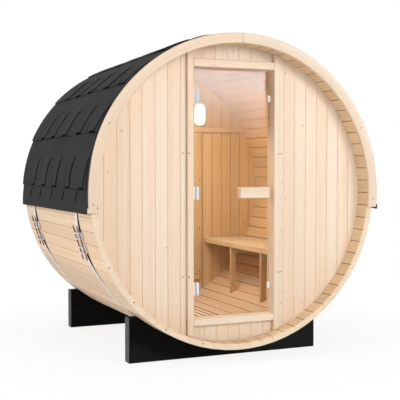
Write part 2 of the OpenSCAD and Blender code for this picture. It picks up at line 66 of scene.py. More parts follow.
# End walls and door frame
WALL_FRONT, WALL_BACK = 0.11, 0.15
INFILL_FRONT = 0.12
FRAME_FRONT, FRAME_BACK = 0.09, 0.185
FRAME_BEVEL = 0.0025
JAMB_INNER, JAMB_OUTER = 0.276, 0.318
HEADER = (0.773, 0.821)
SILL = (-0.804, -0.761)
LEFT_JOINTS = (-0.842, -0.759, -0.679, -0.602, -0.519, -0.439, -0.355)
RIGHT_JOINTS = (0.352, 0.432, 0.513, 0.595, 0.673, 0.755, 0.836)
TOP_JOINTS = (-0.202, -0.12, -0.039, 0.039, 0.119, 0.198)
BOTTOM_JOINTS = (-0.195, -0.112, -0.03, 0.046, 0.131, 0.211)
REAR_FRONT, REAR_BACK = 1.58, 1.618
BATTEN_FACE = 1.5597
BOARD_COVER, BOARD_GAP, BOARD_BEVEL = 0.081, 0.0008, 0.0022
BOARD_STEP = 0.012
NARROWEST_BOARD = 0.02

# Depth of the fascia, and places of the cradles
FASCIA_DEPTH = 0.022
CRADLES = {"front": 0.216, "rear": 1.516}

# Roof courses, as angles over the horizontal and radii from the axis at the lower and upper edge
COURSE_LOWS = (-6.1, 2.1, 21.7, 41.3, 60.9, 80.5)
COURSE_RADII = ((0.976, 0.9545), (0.969, 0.954), (0.9655, 0.954), (0.9625, 0.954), (0.961, 0.9545))
LAST_COURSE = len(COURSE_RADII) - 1
HEADLAP = 3.5
SHEET = 0.0035
EAVE_UNDER = 0.9725
ROW_STEP, COLUMN_STEP = 1.2, 0.06

# The roof climbs to the fascia's edge, less at the eaves.
ROOF_SLOPE, EAVE_SLOPE = 0.0165, 0.004
SLOPE_START, SLOPE_END = 0.33, 1.62
SLOPE_BLEND = 16.0
FRONT_CLIMB, FRONT_TAB_LIFT = 0.0165, 0.003
SETTLE_START, SETTLE_REACH, SETTLE_SHARE = 75.0, 5.0, 0.3

# Slots between the tabs, the notches at their feet and the ticks at their heads
SLOT_FEET = (0.053, 0.339, 0.667, 0.962, 1.267)
STARTER_SLOT_FEET = (0.24, 0.537, 0.835, 1.12, 1.405)
TOP_SLOT_FEET = (0.165, 0.59, 0.9, 1.24, 1.53)
SLOT_ANGLE, TOP_SLOT_ANGLE = 11.2, 12.4
SLOT_WIDTH = 0.005
SLOT_SLANT, STARTER_SLANT = 0.055, 0.121
SLANT_FROM = -0.3
STARTER_SLOT_LOW = 2.9
NOTCH_LENGTH, NOTCH_ANGLE = 0.105, 0.8
TICK_LENGTH, TICK_ANGLE = 0.022, 0.5
FRONT_RAMP, REAR_RAMP = 0.06, 0.1
FOOT_JITTER = 0.007

# How the tabs stand up, and how the lower edges of the courses are pressed flat near the front
TAB_LIFT, LIFT_VARIES = 0.0042, (0.8, 1.2)
LIFT_REACH, LIFT_CURVE = 0.12, 1.2
HOLD_FADE = 0.1
STARTER_HOLD, STARTER_FADE, STARTER_HOLD_TOP = 1.1, 2.0, 1.6
BUTT_EASE, BUTT_EDGE = 0.9, 0.0015
EASED_TO = (0.35, 0.8)
EAVE_SKEW = (0.24, -0.48)
WAVES = ((0.0005, 9, 0.11), (0.0004, 23, 0.0))

# Felt lapped over the fascia, with its rows, and the underlay with its strips of glue, kept black as painted
# shade under the notches
LAP_ROWS = {"left": (-3.8, 25.0, 1.2), "right": (-6.2, -4.4, 0.6)}
LAP_RADII = (0.9795, 0.9758)
LAP_DEPTH, LAP_END, LAP_TAPER = 0.0245, 26.0, 17.0
LINER_RADIUS, LINER_THICK, LINER_START, LINER_INSET = 0.9532, 0.0008, 3.0, 0.004
GLUE_SHADE_LOW, GLUE_SHADE_HIGH = 0.06, 1.4
GLUE_SHADE_RISE, GLUE_SHADE_THICK, GLUE_SHADE_INSET = 0.0028, 0.0012, 0.006
SHEET_COLUMN_STEP = 0.12

# Ridge caps
RIDGE_HALF = 9.5
RIDGE_STARTS = (0.0, 0.29, 0.59, 0.9, 1.215, 1.5)

# Steel straps and the clamps of their tensioners, as angles under the horizontal
STRAPS = {"front": 0.3225, "rear": 1.3925}
UPPER_CLAMP, LOWER_CLAMP = 13.6, 21.2
ROD_RADIUS = 0.9652
THREAD_RADII = (0.0042, 0.0037)
WASHER = ((0.0038, 0.0088), (0.0041, 0.0092), (0.0053, 0.0092), (0.0056, 0.0088))
NUT = ((0.0057, 0.0068), (0.0068, 0.0076), (0.0119, 0.0076), (0.013, 0.0068))

# Small hardware; heads have a radius, a height and at times a number of sides
HINGE_FRONT, HINGE_BACK = 0.1437, 0.1643
RIB_X, RIB_FRONT, RIB_HALF, RIB_BEVEL = (-0.2445, -0.2355), 0.1424, 0.0385, 0.0004
FRAME_NAILS = ((-0.34, WALL_FRONT), (-0.308, FRAME_FRONT), (0.308, FRAME_FRONT), (0.336, WALL_FRONT))
BOARD_HEAD, FASCIA_HEAD, STAVE_HEAD = (0.0042, 0.0012), (0.004, 0.0012), (0.0045, 0.0012)
BATTEN_HEAD, SCREW_HEAD, BOLT_HEAD = (0.005, 0.0015), (0.0045, 0.0016, 16), (0.011, 0.005, 24)
BOLT_FACE, BOLT_INSET = 0.1582, 0.035
SLAT_BEVEL = 0.004

CORNERS = list(product((0, 1), repeat=3))
SQUARE = ((0, 0), (1, 0), (1, 1), (0, 1))
SIDES = ((-1, "left"), (1, "right"))


def node_box(node):
    """Corners of a node's box, in the barrel's frame."""
    low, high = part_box(node)
    return low - ORIGIN, high - ORIGIN


def polar(radius, angle, y, side=1):
    """A point at an angle over the horizontal, on the -X side with side -1."""
    turn = radians(angle)
    return (side * radius * cos(turn), y, radius * sin(turn))


def clamp(value):
    return min(max(value, 0.0), 1.0)


def half_chord(radius, x):
    """Height of a circle at a distance from its centre."""
    return sqrt(max(radius * radius - x * x, 0.0))


def spread(start, end, step):
    """Evenly spaced numbers from start to end, at most a step apart."""
    count = max(1, ceil(abs(end - start) / step - 1e-6))
    return [start + (end - start) * i / count for i in range(count + 1)]


def filled(marks, step):
    """The marks in order, with more numbers between them, at most a step apart."""
    marks = sorted(marks)
    numbers = []
    for a, b in zip(marks, marks[1:]):
        numbers += spread(a, b, step)[:-1]
    return numbers + [marks[-1]]


def cube_corner(axis, end, others):
    """Corner of a cube, from its ends along an axis and along the other two."""
    corner = list(others)
    corner.insert(axis, end)
    return tuple(corner)


def inset(outline, distance):
    """The outline, which runs against the clock, moved inward by a distance."""
    moved = []
    for i, point in enumerate(outline):
        here = Vector(point)
        into = (here - Vector(outline[i - 1])).normalized()
        out = (Vector(outline[(i + 1) % len(outline)]) - here).normalized()
        normal = Vector((-into.y - out.y, into.x + out.x))
        length = max(normal.length_squared, 0.5)
        moved.append(tuple(here + normal * (2 * distance / length)))
    return moved


class Shape:
    """Points and faces of one piece, with a seed for each board in it."""

    def __init__(self):
        self.points = []
        self.faces = []
        self.seeds = []
        self.cuts = []
        self.place = tuple

    def add(self, points, faces, seed=0.0, cuts=None):
        """More points and faces; cuts says how dark each face is."""
        first = len(self.points)
        self.points += [Vector(self.place(point)) + ORIGIN for point in points]
        self.faces += [[first + i for i in face] for face in faces]
        self.cuts += cuts or [0.0] * len(faces)
        self.seeds += seed if isinstance(seed, list) else [seed] * len(points)
        return self

    def block(self, low, high, bevel, seed=0.0, rim=0.0):
        """Box with bevelled edges; rim says how dark they are."""
        points, index = [], {}
        for corner in CORNERS:
            for flat in range(3):
                inward = [0.0 if axis == flat else -bevel if corner[axis] else bevel for axis in range(3)]
                index[corner, flat] = len(points)
                points.append(tuple((low, high)[corner[axis]][axis] + inward[axis] for axis in range(3)))
        faces, cuts = [], []
        for axis in range(3):
            first, second = [other for other in range(3) if other != axis]
            for end in (0, 1):
                faces.append([index[cube_corner(axis, end, pair), axis] for pair in SQUARE])
            for pair in SQUARE:
                near, far = cube_corner(axis, 0, pair), cube_corner(axis, 1, pair)
                faces.append([index[near, first], index[far, first], index[far, second], index[near, second]])
            cuts += [0.0] * 2 + [rim] * 4
        faces += [[index[corner, flat] for flat in range(3)] for corner in CORNERS]
        return self.add(points, faces, seed, cuts + [rim] * len(CORNERS))

    def sweep(self, rings, seed=0.0, cuts=None):
        """Skin over rings with the same number of points, closed at both ends."""
        count = len(rings[0])
        points = [point for ring in rings for point in ring]
        last = len(points) - count
        faces = []
        for a in range(0, last, count):
            for i in range(count):
                j = (i + 1) % count
                faces.append([a + i, a + j, a + count + j, a + count + i])
        faces += [list(range(count))[::-1], list(range(last, len(points)))]
        return self.add(points, faces, seed, cuts)

    def prism(self, outline, start, end, bevel, seed=0.0, rim=0.0):
        """Outline of X and Z drawn along Y; rim says how dark its bevels are."""
        inner, count = inset(outline, bevel), len(outline)
        rings = ((inner, start), (outline, start + bevel), (outline, end - bevel), (inner, end))
        cuts = [rim] * count + [0.0] * count + [rim] * count + [0.0] * 2
        return self.sweep([[(x, y, z) for x, z in ring] for ring, y in rings], seed, cuts)

    def shell(self, top, under, kept, seeds):
        """Sheet between two grids of points, on the cells that are kept."""
        rows, columns = len(top), len(top[0])
        size = rows * columns
        faces, cuts = [], []
        for r, c in sorted(kept):
            a = r * columns + c
            b, d, e = a + 1, a + columns + 1, a + columns
            faces += [[a, b, d, e], [size + e, size + d, size + b, size + a]]
            cuts += [0.0, 0.0]
            for near, (p, q) in (((r - 1, c), (a, b)), ((r, c + 1), (b, d)),
                                 ((r + 1, c), (d, e)), ((r, c - 1), (e, a))):
                # Side walls round holes inside the grid are flagged dark: bare bitumen edges, and painted
                # shade in the gaps.
                if near not in kept:
                    faces.append([p, size + p, size + q, q])
                    cuts.append(float(0 <= near[0] < rows - 1 and 0 <= near[1] < columns - 1))
        points = [point for grid in (top, under) for row in grid for point in row]
        used = sorted({i for face in faces for i in face})
        place = {old: new for new, old in enumerate(used)}
        flat = [seed for row in seeds for seed in row] * 2
        self.add([points[i] for i in used], [[place[i] for i in face] for face in faces],
                 [flat[i] for i in used], cuts)

    def sheet(self, top, under, seed=0.0):
        rows, columns = len(top), len(top[0])
        cells = {(r, c) for r in range(rows - 1) for c in range(columns - 1)}
        self.shell(top, under, cells, [[seed] * columns] * rows)

    def stud(self, centre, axis, radius, height, sides=12):
        """Low domed head with its foot sunk a little."""
        axis = Vector(axis).normalized()
        across = axis.orthogonal().normalized()
        other = axis.cross(across)
        turns = [across * cos(t) + other * sin(t) for t in (tau * i / sides for i in range(sides))]
        self.sweep([[tuple(Vector(centre) + axis * height * rise + turn * radius * share) for turn in turns]
                    for share, rise in ((1.0, -0.4), (1.0, 0.35), (0.86, 0.75), (0.5, 1.0))])


def link(name, data):
    thing = bpy.data.objects.new(name, data)
    bpy.context.scene.collection.objects.link(thing)
    return thing


def make(name, shape, material, replaced=(), body="cabin", smooth=None):
    """Piece from a shape, riding on a body."""
    mesh = bpy.data.meshes.new(name)
    mesh.from_pydata(shape.points, [], shape.faces)
    edit = bmesh.new()
    edit.from_mesh(mesh)
    bmesh.ops.recalc_face_normals(edit, faces=edit.faces)
    edit.to_mesh(mesh)
    edit.free()
    mesh.attributes.new("board", "FLOAT", "POINT").data.foreach_set("value", shape.seeds)
    mesh.attributes.new("cut", "FLOAT", "FACE").data.foreach_set("value", shape.cuts)
    if smooth:
        mesh.shade_smooth()
        mesh.set_sharp_from_angle(angle=radians(smooth))
    mesh.materials.append(material)
    piece = link(name, mesh)
    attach(piece, body)
    if replaced:
        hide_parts(*replaced)


class Surface:
    """A node material, or the world, while it is put together."""

    def __init__(self, name, kind="Material"):
        library = bpy.data.worlds if kind == "World" else bpy.data.materials
        self.kind = kind
        self.owner = library.new(name)
        self.owner.use_nodes = True
        self.tree = self.owner.node_tree
        self.tree.nodes.clear()

    def feed(self, socket, value):
        if isinstance(value, bpy.types.NodeSocket):
            self.tree.links.new(value, socket)
        else:
            socket.default_value = value

    def node(self, kind, inputs=None, **settings):
        node = self.tree.nodes.new("ShaderNode" + kind)
        for key, value in settings.items():
            setattr(node, key, value)
        for key, value in (inputs or {}).items():
            self.feed(node.inputs[key], value)
        return node

    def add(self, kind, inputs=None, **settings):
        return self.node(kind, inputs, **settings).outputs

    def math(self, operation, *values):
        return self.add("Math", dict(enumerate(values)), operation=operation)[0]

    def times(self, first, second):
        return self.math("MULTIPLY", first, second)

    def plus(self, first, second):
        return self.math("ADD", first, second)

    def place(self):
        return self.add("TexCoord")["Object"]

    def axes(self, output="Object"):
        return self.add("SeparateXYZ", {0: self.add("TexCoord")[output]})

    def attribute(self, name):
        return self.add("Attribute", attribute_name=name)["Fac"]

    def vector(self, x, y, z):
        return self.add("CombineXYZ", {"X": x, "Y": y, "Z": z})[0]

    def scaled(self, parts, factors):
        return self.vector(*[part if factor == 1.0 else self.times(part, factor)
                             for part, factor in zip(parts, factors)])

    def noise(self, vector, scale, detail=2.0, distortion=0.0):
        return self.add("TexNoise", {
            "Vector": vector, "Scale": scale, "Detail": detail, "Distortion": distortion,
        })["Fac"]

    def chance(self, number):
        return self.add("TexWhiteNoise", {"W": number}, noise_dimensions="1D")["Value"]

    def remap(self, value, low, high, to_low=0.0, to_high=1.0):
        return self.add("MapRange", {
            "Value": value, "From Min": low, "From Max": high, "To Min": to_low, "To Max": to_high,
        })["Result"]

    def ramp(self, factor, *stops):
        node = self.node("ValToRGB", {"Fac": factor})
        elements = node.color_ramp.elements
        elements[0].position, elements[0].color = stops[0][0], (*stops[0][1], 1)
        elements[1].position, elements[1].color = stops[-1][0], (*stops[-1][1], 1)
        for place, colour in stops[1:-1]:
            elements.new(place).color = (*colour, 1)
        return node.outputs["Color"]

    def blend(self, factor, first, second, kind="MIX"):
        node = self.node("Mix", data_type="RGBA", blend_type=kind)
        for i, value in ((0, factor), (6, first), (7, second)):
            self.feed(node.inputs[i], (*value, 1) if isinstance(value, tuple) else value)
        return node.outputs[2]

    def colour(self, red, green, blue):
        return self.add("CombineColor", {"Red": red, "Green": green, "Blue": blue})["Color"]

    def bump(self, height, strength, distance):
        return self.add("Bump", {"Height": height, "Strength": strength, "Distance": distance})["Normal"]

    def seen(self):
        """1 for rays from the camera and from shiny or clear things."""
        rays = self.add("LightPath")
        return self.math("MAXIMUM", rays["Is Camera Ray"],
                         self.math("MAXIMUM", rays["Is Glossy Ray"], rays["Is Transmission Ray"]))

    def mixed(self, factor, first, second):
        return self.add("MixShader", {0: factor, 1: first, 2: second})[0]

    def principled(self, **inputs):
        named = {key.replace("_", " "): value for key, value in inputs.items()}
        return self.add("BsdfPrincipled", named)[0]

    def finish(self, colour, roughness, specular, normal, **more):
        return self.close(self.principled(
            Base_Color=colour, Roughness=roughness, Specular_IOR_Level=specular, Normal=normal, **more))

    def close(self, shader):
        self.add("Output" + self.kind, {"Surface": shader})
        return self.owner


def grain_frame(s, layout):
    """Distance across, into and along the grain, and a seed for each board."""
    x, y, z = s.axes()
    seed = s.attribute("board")
    if layout in ("stave", "fascia"):
        up = s.math("SUBTRACT", z, ORIGIN.z)
        angle = s.math("ARCTAN2", x, s.times(up, -1.0))
        radius = s.math("SQRT", s.plus(s.times(x, x), s.times(up, up)))
        around = s.times(angle, STAVE_OUTER)
        if layout == "fascia":
            return radius, y, around, seed
        turn = s.math("DIVIDE", s.math("SUBTRACT", angle, STAVE_PHASE), STAVE_TURN)
        number = s.math("FLOOR", s.plus(turn, 0.5 + STAVE_COUNT))
        return around, radius, y, s.chance(number)
    order = {"upright": (x, y, z), "lengthways": (x, z, y), "crossways": (z, y, x)}
    return (*order[layout], seed)


def knots(s, side, run, fibre, share):
    """Sockets that are 1 inside the knots and in the halos round them."""
    spots = s.add("TexVoronoi", {
        "Vector": s.scaled((side, run, 0.0), (1.35, 1.0, 1.0)), "Scale": 6.2,
    }, voronoi_dimensions="2D")
    lot = s.add("SeparateColor", {0: spots["Color"]})
    core = s.math("LESS_THAN", lot[0], share)
    reach = s.remap(lot[1], 0.0, 1.0, 0.018, 0.052)
    ragged = s.plus(spots["Distance"], s.times(fibre, 0.012))
    inside = s.remap(ragged, s.times(reach, 0.75), reach, 1.0, 0.0)
    halo = s.remap(spots["Distance"], reach, s.times(reach, 3.2), 1.0, 0.0)
    return s.times(core, inside), s.times(core, halo)


def stave_tones(s, colour, across, into, along, end):
    """Painted warm shade on the staves' inner faces, in the cabin and under the overhang, and dark lines at
    their joints.
    """
    inner = s.math("LESS_THAN", into, CROZE + 0.004)
    behind = s.math("GREATER_THAN", along, ORIGIN.y + WALL_BACK)
    drop = s.times(into, s.math("COSINE", s.math("DIVIDE", across, STAVE_OUTER)))
    # Painted shade: in the cabin the tint is full high up and fades towards the floor.
    indoor_shade = s.times(s.times(inner, behind), s.remap(drop, 0.4, 0.8, 1.0, 0.35))
    porch_shade = s.times(inner, s.math("SUBTRACT", 1.0, behind))
    for share, tint in ((indoor_shade, INDOOR_SHADE_TINT), (porch_shade, PORCH_SHADE_TINT)):
        colour = s.blend(share, colour, s.blend(1.0, colour, tint, "MULTIPLY"))
    turn = s.plus(s.math("DIVIDE", across, STAVE_PITCH), 0.5 - STAVE_PHASE / STAVE_TURN)
    centred = s.math("ABSOLUTE", s.math("SUBTRACT", s.math("FRACT", turn), 0.5))
    joint = s.math("LESS_THAN", s.math("SUBTRACT", 0.5, centred), JOINT_HALF / STAVE_PITCH)
    depth = s.remap(into, STAVE_INNER + 0.004, STAVE_OUTER - 0.004, 1.0, 0.4)
    sides = s.math("SUBTRACT", 1.0, s.times(end, 0.8))
    return s.blend(s.times(s.times(joint, depth), sides), colour, JOINT_COLOUR)


def wood(name, layout, colours, knot_share, tone=0.1):
    """Planed softwood: growth lines, small knots, and a tone of its own for each board."""
    s = Surface(name)
    light, dark = colours
    across, into, along, seed = grain_frame(s, layout)
    shift = s.times(seed, 37.0)
    run = s.plus(along, shift)
    side = s.plus(across, s.times(seed, 5.0))
    sway = s.noise(s.scaled((side, into, run), (6.0, 1.0, 0.9)), 1.0, 2.0)
    bent = s.plus(side, s.times(sway, 0.05))
    rings = s.add("TexWave", {
        "Vector": s.scaled((bent, into, run), (1.0, 1.0, 0.012)), "Scale": 34.0, "Distortion": 2.2,
        "Detail": 2.0, "Detail Scale": 1.4,
    }, wave_type="BANDS", bands_direction="X", wave_profile="SAW")["Fac"]
    fibre = s.noise(s.scaled((side, into, run), (420.0, 420.0, 9.0)), 1.0, 3.0)
    streak = s.noise(s.scaled((bent, into, run), (42.0, 30.0, 0.55)), 1.0, 2.0)
    figure = s.plus(s.times(rings, 0.34), s.plus(s.times(fibre, 0.28), s.times(streak, 0.46)))
    between = tuple(0.62 * a + 0.38 * b for a, b in zip(light, dark))
    colour = s.ramp(s.remap(figure, 0.28, 0.82), (0.0, light), (0.55, between), (1.0, dark))

    inside, halo = knots(s, side, run, fibre, knot_share)
    colour = s.blend(s.times(halo, 0.28), colour, dark)
    colour = s.blend(s.times(inside, 0.85), colour, KNOT_COLOUR)

    shade = s.remap(seed, 0.0, 1.0, 1.0 - tone, 1.0 + tone * 0.35)
    warm = s.chance(shift)
    tint = s.colour(shade, s.times(shade, s.remap(warm, 0.0, 1.0, 0.955, 1.02)),
                    s.times(shade, s.remap(warm, 0.0, 1.0, 0.9, 1.03)))
    colour = s.blend(1.0, colour, tint, "MULTIPLY")

    facing = {"upright": 2, "lengthways": 1, "crossways": 0, "stave": 1}.get(layout)
    if facing is not None:
        end = s.math("GREATER_THAN", s.math("ABSOLUTE", s.axes("Normal")[facing]), 0.8)
        pores = s.noise(s.scaled((side, into, 0.0), (260.0, 260.0, 1.0)), 1.0, 3.0)
        fresh = STAVE_END if layout == "stave" else tuple(0.93 * c for c in light)
        colour = s.blend(s.times(end, 0.75), colour, s.blend(s.remap(pores, 0.3, 0.8), fresh, dark))
        if layout == "stave":
            colour = stave_tones(s, colour, across, into, along, end)

    # Faces flagged in 'cut' take the joint colour: dark joints between boards, and painted shade along
    # bevelled edges where parts meet.
    colour = s.blend(s.attribute("cut"), colour, JOINT_COLOUR)
    height = s.math("SUBTRACT", s.times(figure, 0.7), s.times(inside, 0.5))
    return s.finish(colour, s.remap(figure, 0.2, 0.9, 0.56, 0.72), 0.28, s.bump(height, 0.22, 0.0012))


def stained_timber(name):
    """Sawn timber under a black stain, with a painted highlight that makes its end faces paler."""
    s = Surface(name)
    x, y, z = s.axes()
    grain = s.noise(s.scaled((x, y, z), (2.2, 55.0, 55.0)), 1.0, 4.0, 0.4)
    blotch = s.noise(s.vector(x, y, z), 7.0, 3.0)
    colour = s.ramp(grain, (0.3, (0.0015, 0.0015, 0.0016)), (0.62, (0.003, 0.0029, 0.003)),
                    (0.8, (0.011, 0.0105, 0.0105)))
    colour = s.blend(s.remap(blotch, 0.6, 0.85, 0.0, 0.4), colour, (0.008, 0.008, 0.0085))
    # Painted highlight: the end faces, across X, turn grey.
    end = s.math("GREATER_THAN", s.math("ABSOLUTE", s.axes("Normal")[0]), 0.9)
    rings = s.noise(s.scaled((0.0, y, z), (1.0, 90.0, 30.0)), 1.0, 3.0)
    colour = s.blend(s.times(end, 0.9), colour,
                     s.ramp(rings, (0.3, (0.075, 0.072, 0.074)), (0.7, (0.125, 0.12, 0.122))))
    return s.finish(colour, s.remap(grain, 0.3, 0.8, 0.6, 0.8), 0.08, s.bump(grain, 0.3, 0.0015))


def granules(name, dark, mid, pale):
    """Bitumen felt under crushed slate, with a tone of its own for each tab."""
    s = Surface(name)
    place = s.place()
    grit = s.add("TexVoronoi", {"Vector": place, "Scale": 620.0})
    mix = s.add("SeparateColor", {0: grit["Color"]})[0]
    cloud = s.noise(place, 9.0, 4.0)
    colour = s.ramp(mix, (0.0, dark), (0.7, mid), (1.0, pale))
    colour = s.blend(s.remap(cloud, 0.35, 0.7, 0.0, 0.55), colour, tuple(0.72 * c for c in mid))
    shade = s.remap(s.attribute("board"), 0.0, 1.0, 0.85, 1.1)
    colour = s.blend(1.0, colour, s.colour(shade, shade, shade), "MULTIPLY")
    # Side faces round slots, notches and ticks go near black: bare bitumen at cut edges, and painted shade in
    # the gaps.
    colour = s.blend(s.times(s.attribute("cut"), 0.92), colour, (0.004, 0.004, 0.004))
    height = s.plus(s.times(grit["Distance"], -1.0), s.times(cloud, 0.6))
    return s.finish(colour, s.remap(mix, 0.0, 1.0, 0.82, 0.97), 0.2, s.bump(height, 0.3, 0.001))


def black_felt(name):
    """Matt black felt, seen only in gaps."""
    s = Surface(name)
    fleck = s.noise(s.place(), 420.0, 3.0)
    colour = s.ramp(fleck, (0.3, (0.001, 0.001, 0.001)), (0.75, (0.004, 0.0038, 0.004)))
    return s.finish(colour, s.remap(fleck, 0.3, 0.7, 0.8, 0.95), 0.02, s.bump(fleck, 0.3, 0.0008))


def metal(name, colour, dull, stretch, rough, shine=1.0):
    """Metal with brush marks and dull patches; shine is how metallic it is."""
    s = Surface(name)
    axes = s.axes()
    lines = s.noise(s.scaled(axes, [BRUSH_MARKS * factor for factor in stretch]), 1.0, 3.0)
    patch = s.noise(s.vector(*axes), 26.0, 3.0)
    tone = s.blend(s.remap(patch, 0.4, 0.75, 0.0, 0.6), colour, dull)
    tone = s.blend(s.remap(lines, 0.35, 0.7, 0.0, 0.35), tone, dull)
    return s.finish(tone, s.remap(lines, 0.3, 0.7, rough - 0.08, rough + 0.12), 0.5 * shine,
                    s.bump(lines, 0.12, 0.0005), Metallic=shine)


def pane(name):
    """Clear glass that lets the light of lamps through."""
    s = Surface(name)
    film = s.noise(s.place(), 14.0, 3.0)
    glass = s.principled(
        Base_Color=s.ramp(film, (0.3, (0.975, 0.985, 0.98)), (0.7, (0.99, 0.995, 0.992))),
        Transmission_Weight=1.0, IOR=1.15, Roughness=0.0)
    clear = s.add("BsdfTransparent", {"Color": (0.96, 0.97, 0.965, 1)})[0]
    rays = s.add("LightPath")
    passing = s.math("MAXIMUM", rays["Is Shadow Ray"], rays["Is Diffuse Ray"])
    return s.close(s.mixed(passing, glass, clear))


def opal(name, glow):
    """White plastic or opal glass, with a faint mottle."""
    s = Surface(name)
    mottle = s.noise(s.place(), 60.0, 3.0)
    colour = s.ramp(mottle, (0.3, (0.86, 0.86, 0.84)), (0.7, (0.92, 0.92, 0.905)))
    return s.finish(
        colour, s.remap(mottle, 0.3, 0.7, 0.2, 0.32), 0.5, s.bump(mottle, 0.05, 0.0005),
        Subsurface_Weight=0.15, Subsurface_Radius=(0.01, 0.01, 0.01),
        Emission_Color=(1.0, 0.97, 0.92, 1), Emission_Strength=glow)


# Colours of wood, each with the colour of its growth lines
PALE = ((0.83, 0.7, 0.565), (0.72, 0.515, 0.345))
TAN = ((0.79, 0.625, 0.46), (0.63, 0.43, 0.265))
DEAL = ((0.8, 0.665, 0.525), (0.69, 0.485, 0.315))
BENT = ((0.755, 0.635, 0.51), (0.655, 0.47, 0.315))
# Darker and warmer than the boards outside: painted warm shade of the cabin's inside, which the rear wall's
# outer face shares.
INDOOR_SHADE_GOLD = ((0.75, 0.535, 0.295), (0.59, 0.35, 0.15))
SEAT = ((0.735, 0.595, 0.4), (0.59, 0.4, 0.225))
KNOT_COLOUR, JOINT_COLOUR, STAVE_END = (0.3, 0.12, 0.045), (0.17, 0.075, 0.028), (0.88, 0.77, 0.63)
# Painted warm shade for the staves' inner faces, in the cabin and under the overhang
INDOOR_SHADE_TINT, PORCH_SHADE_TINT = (0.97, 0.87, 0.7), (1.0, 0.965, 0.875)
BRUSH_MARKS = 90.0

board_wood = wood("board_wood", "upright", PALE, 0.26, 0.03)
frame_wood = wood("frame_wood", "upright", DEAL, 0.1, 0.01)
rail_wood = wood("rail_wood", "crossways", DEAL, 0.35, 0.04)
sill_wood = wood("sill_wood", "crossways", PALE, 0.35, 0.02)
fascia_wood = wood("fascia_wood", "fascia", BENT, 0.05, 0.03)
stave_wood = wood("stave_wood", "stave", TAN, 0.22, 0.12)
rear_wood = wood("rear_wood", "upright", INDOOR_SHADE_GOLD, 0.25)
post_wood = wood("post_wood", "upright", INDOOR_SHADE_GOLD, 0.25)
batten_wood = wood("batten_wood", "crossways", INDOOR_SHADE_GOLD, 0.3)
bench_wood = wood("bench_wood", "lengthways", SEAT, 0.25)
duckboard_wood = wood("duckboard_wood", "lengthways", PALE, 0.2)
black_timber = stained_timber("black_timber")
slate_felt = granules("slate_felt", (0.0105, 0.0096, 0.01), (0.0235, 0.0216, 0.0225),
                      (0.0535, 0.0503, 0.0512))
underlay_felt = black_felt("underlay_felt")
strap_steel = metal("strap_steel", (0.8, 0.715, 0.715), (0.62, 0.55, 0.55), (1.0, 14.0, 1.0), 0.45, 0.3)
rod_steel = metal("rod_steel", (0.17, 0.16, 0.16), (0.08, 0.075, 0.075), (1.0, 1.0, 12.0), 0.4)
nut_brass = metal("nut_brass", (0.62, 0.3, 0.09), (0.36, 0.15, 0.05), (2.0, 2.0, 2.0), 0.4, 0.6)
nail_steel = metal("nail_steel", (0.24, 0.06, 0.026), (0.13, 0.035, 0.016), (3.0, 3.0, 3.0), 0.75, 0.0)
hinge_metal = metal("hinge_metal", (0.84, 0.835, 0.84), (0.68, 0.68, 0.69), (1.0, 1.0, 10.0), 0.5, 0.0)
# Grey-blue metal for the strips on the hinge plates: painted shade.
hinge_painted_shade = metal("hinge_painted_shade", (0.4, 0.42, 0.47), (0.3, 0.32, 0.37), (1.0, 1.0, 10.0), 0.5, 0.0)
door_pane = pane("door_pane")
white_plastic = opal("white_plastic", 0.0)
lamp_glass = opal("lamp_glass", 0.4)


def upright(left, right, radius, step, low=-1.0, high=1.0):
    """Outline of an upright board, cut to a circle and to two heights."""
    outline = [(x, max(low, -half_chord(radius, x))) for x in spread(left, right, step)]
    return outline + [(x, min(high, half_chord(radius, x))) for x in spread(right, left, step)]


def boards(joints, start, end, low=-1.0, high=1.0, rim=0.0):
    shape = Shape()
    for left, right in zip(joints, joints[1:]):
        outline = upright(left + BOARD_GAP / 2, right - BOARD_GAP / 2, CROZE, BOARD_STEP, low, high)
        shape.prism(outline, start, end, BOARD_BEVEL, rng.random(), rim)
    return shape


def front_and_rear_walls():
    edge = CROZE - 0.0005
    panels = {
        "left": ((-edge, *LEFT_JOINTS, -JAMB_OUTER), WALL_FRONT, WALL_BACK),
        "right": ((JAMB_OUTER, *RIGHT_JOINTS, edge), WALL_FRONT, WALL_BACK),
        "top": ((-JAMB_INNER, *TOP_JOINTS, JAMB_INNER), INFILL_FRONT, WALL_BACK, HEADER[1] + FIT),
        "bottom": ((-JAMB_INNER, *BOTTOM_JOINTS, JAMB_INNER), INFILL_FRONT, WALL_BACK, -1.0, SILL[0] - FIT),
    }
    for side, panel in panels.items():
        make("front_boards_" + side, boards(*panel), board_wood, ["front_wall_" + side])
    count = int(CROZE // BOARD_COVER)
    joints = [BOARD_COVER * (i + 0.5) for i in range(-count - 1, count + 1)]
    joints = [-edge, *[x for x in joints if abs(x) < edge - NARROWEST_BOARD], edge]
    rear = boards(joints, REAR_FRONT, REAR_BACK, rim=0.6)
    make("rear_boards", rear, rear_wood, ["rear_wall"])


def rear_framing():
    """Battens on the inside of the rear wall, with dark rims as painted shade along their edges."""
    for node in ("rear_top_batten", "rear_low_batten"):
        shape = Shape().block(*node_box(node), 0.003, rng.random(), 0.75)
        make(node + "_board", shape, batten_wood, [node])


def door_frame():
    for side, name in SIDES:
        inner, outer = sorted((side * JAMB_INNER, side * JAMB_OUTER))
        outline = upright(inner, outer, STAVE_INNER - FIT, 0.01)
        shape = Shape().prism(outline, FRAME_FRONT, FRAME_BACK, FRAME_BEVEL, rng.random(), 0.2)
        make(name + "_door_post", shape, frame_wood, [name + "_jamb"])
    reach = JAMB_INNER - FIT
    rails = (("door_head", HEADER, "door_header", rail_wood, 0.5),
             ("door_threshold", SILL, "door_sill", sill_wood, 0.15))
    for name, (low, high), node, material, rim in rails:
        shape = Shape().block((-reach, FRAME_FRONT, low), (reach, FRAME_BACK, high), FRAME_BEVEL,
                              rng.random(), rim)
        make(name, shape, material, [node])


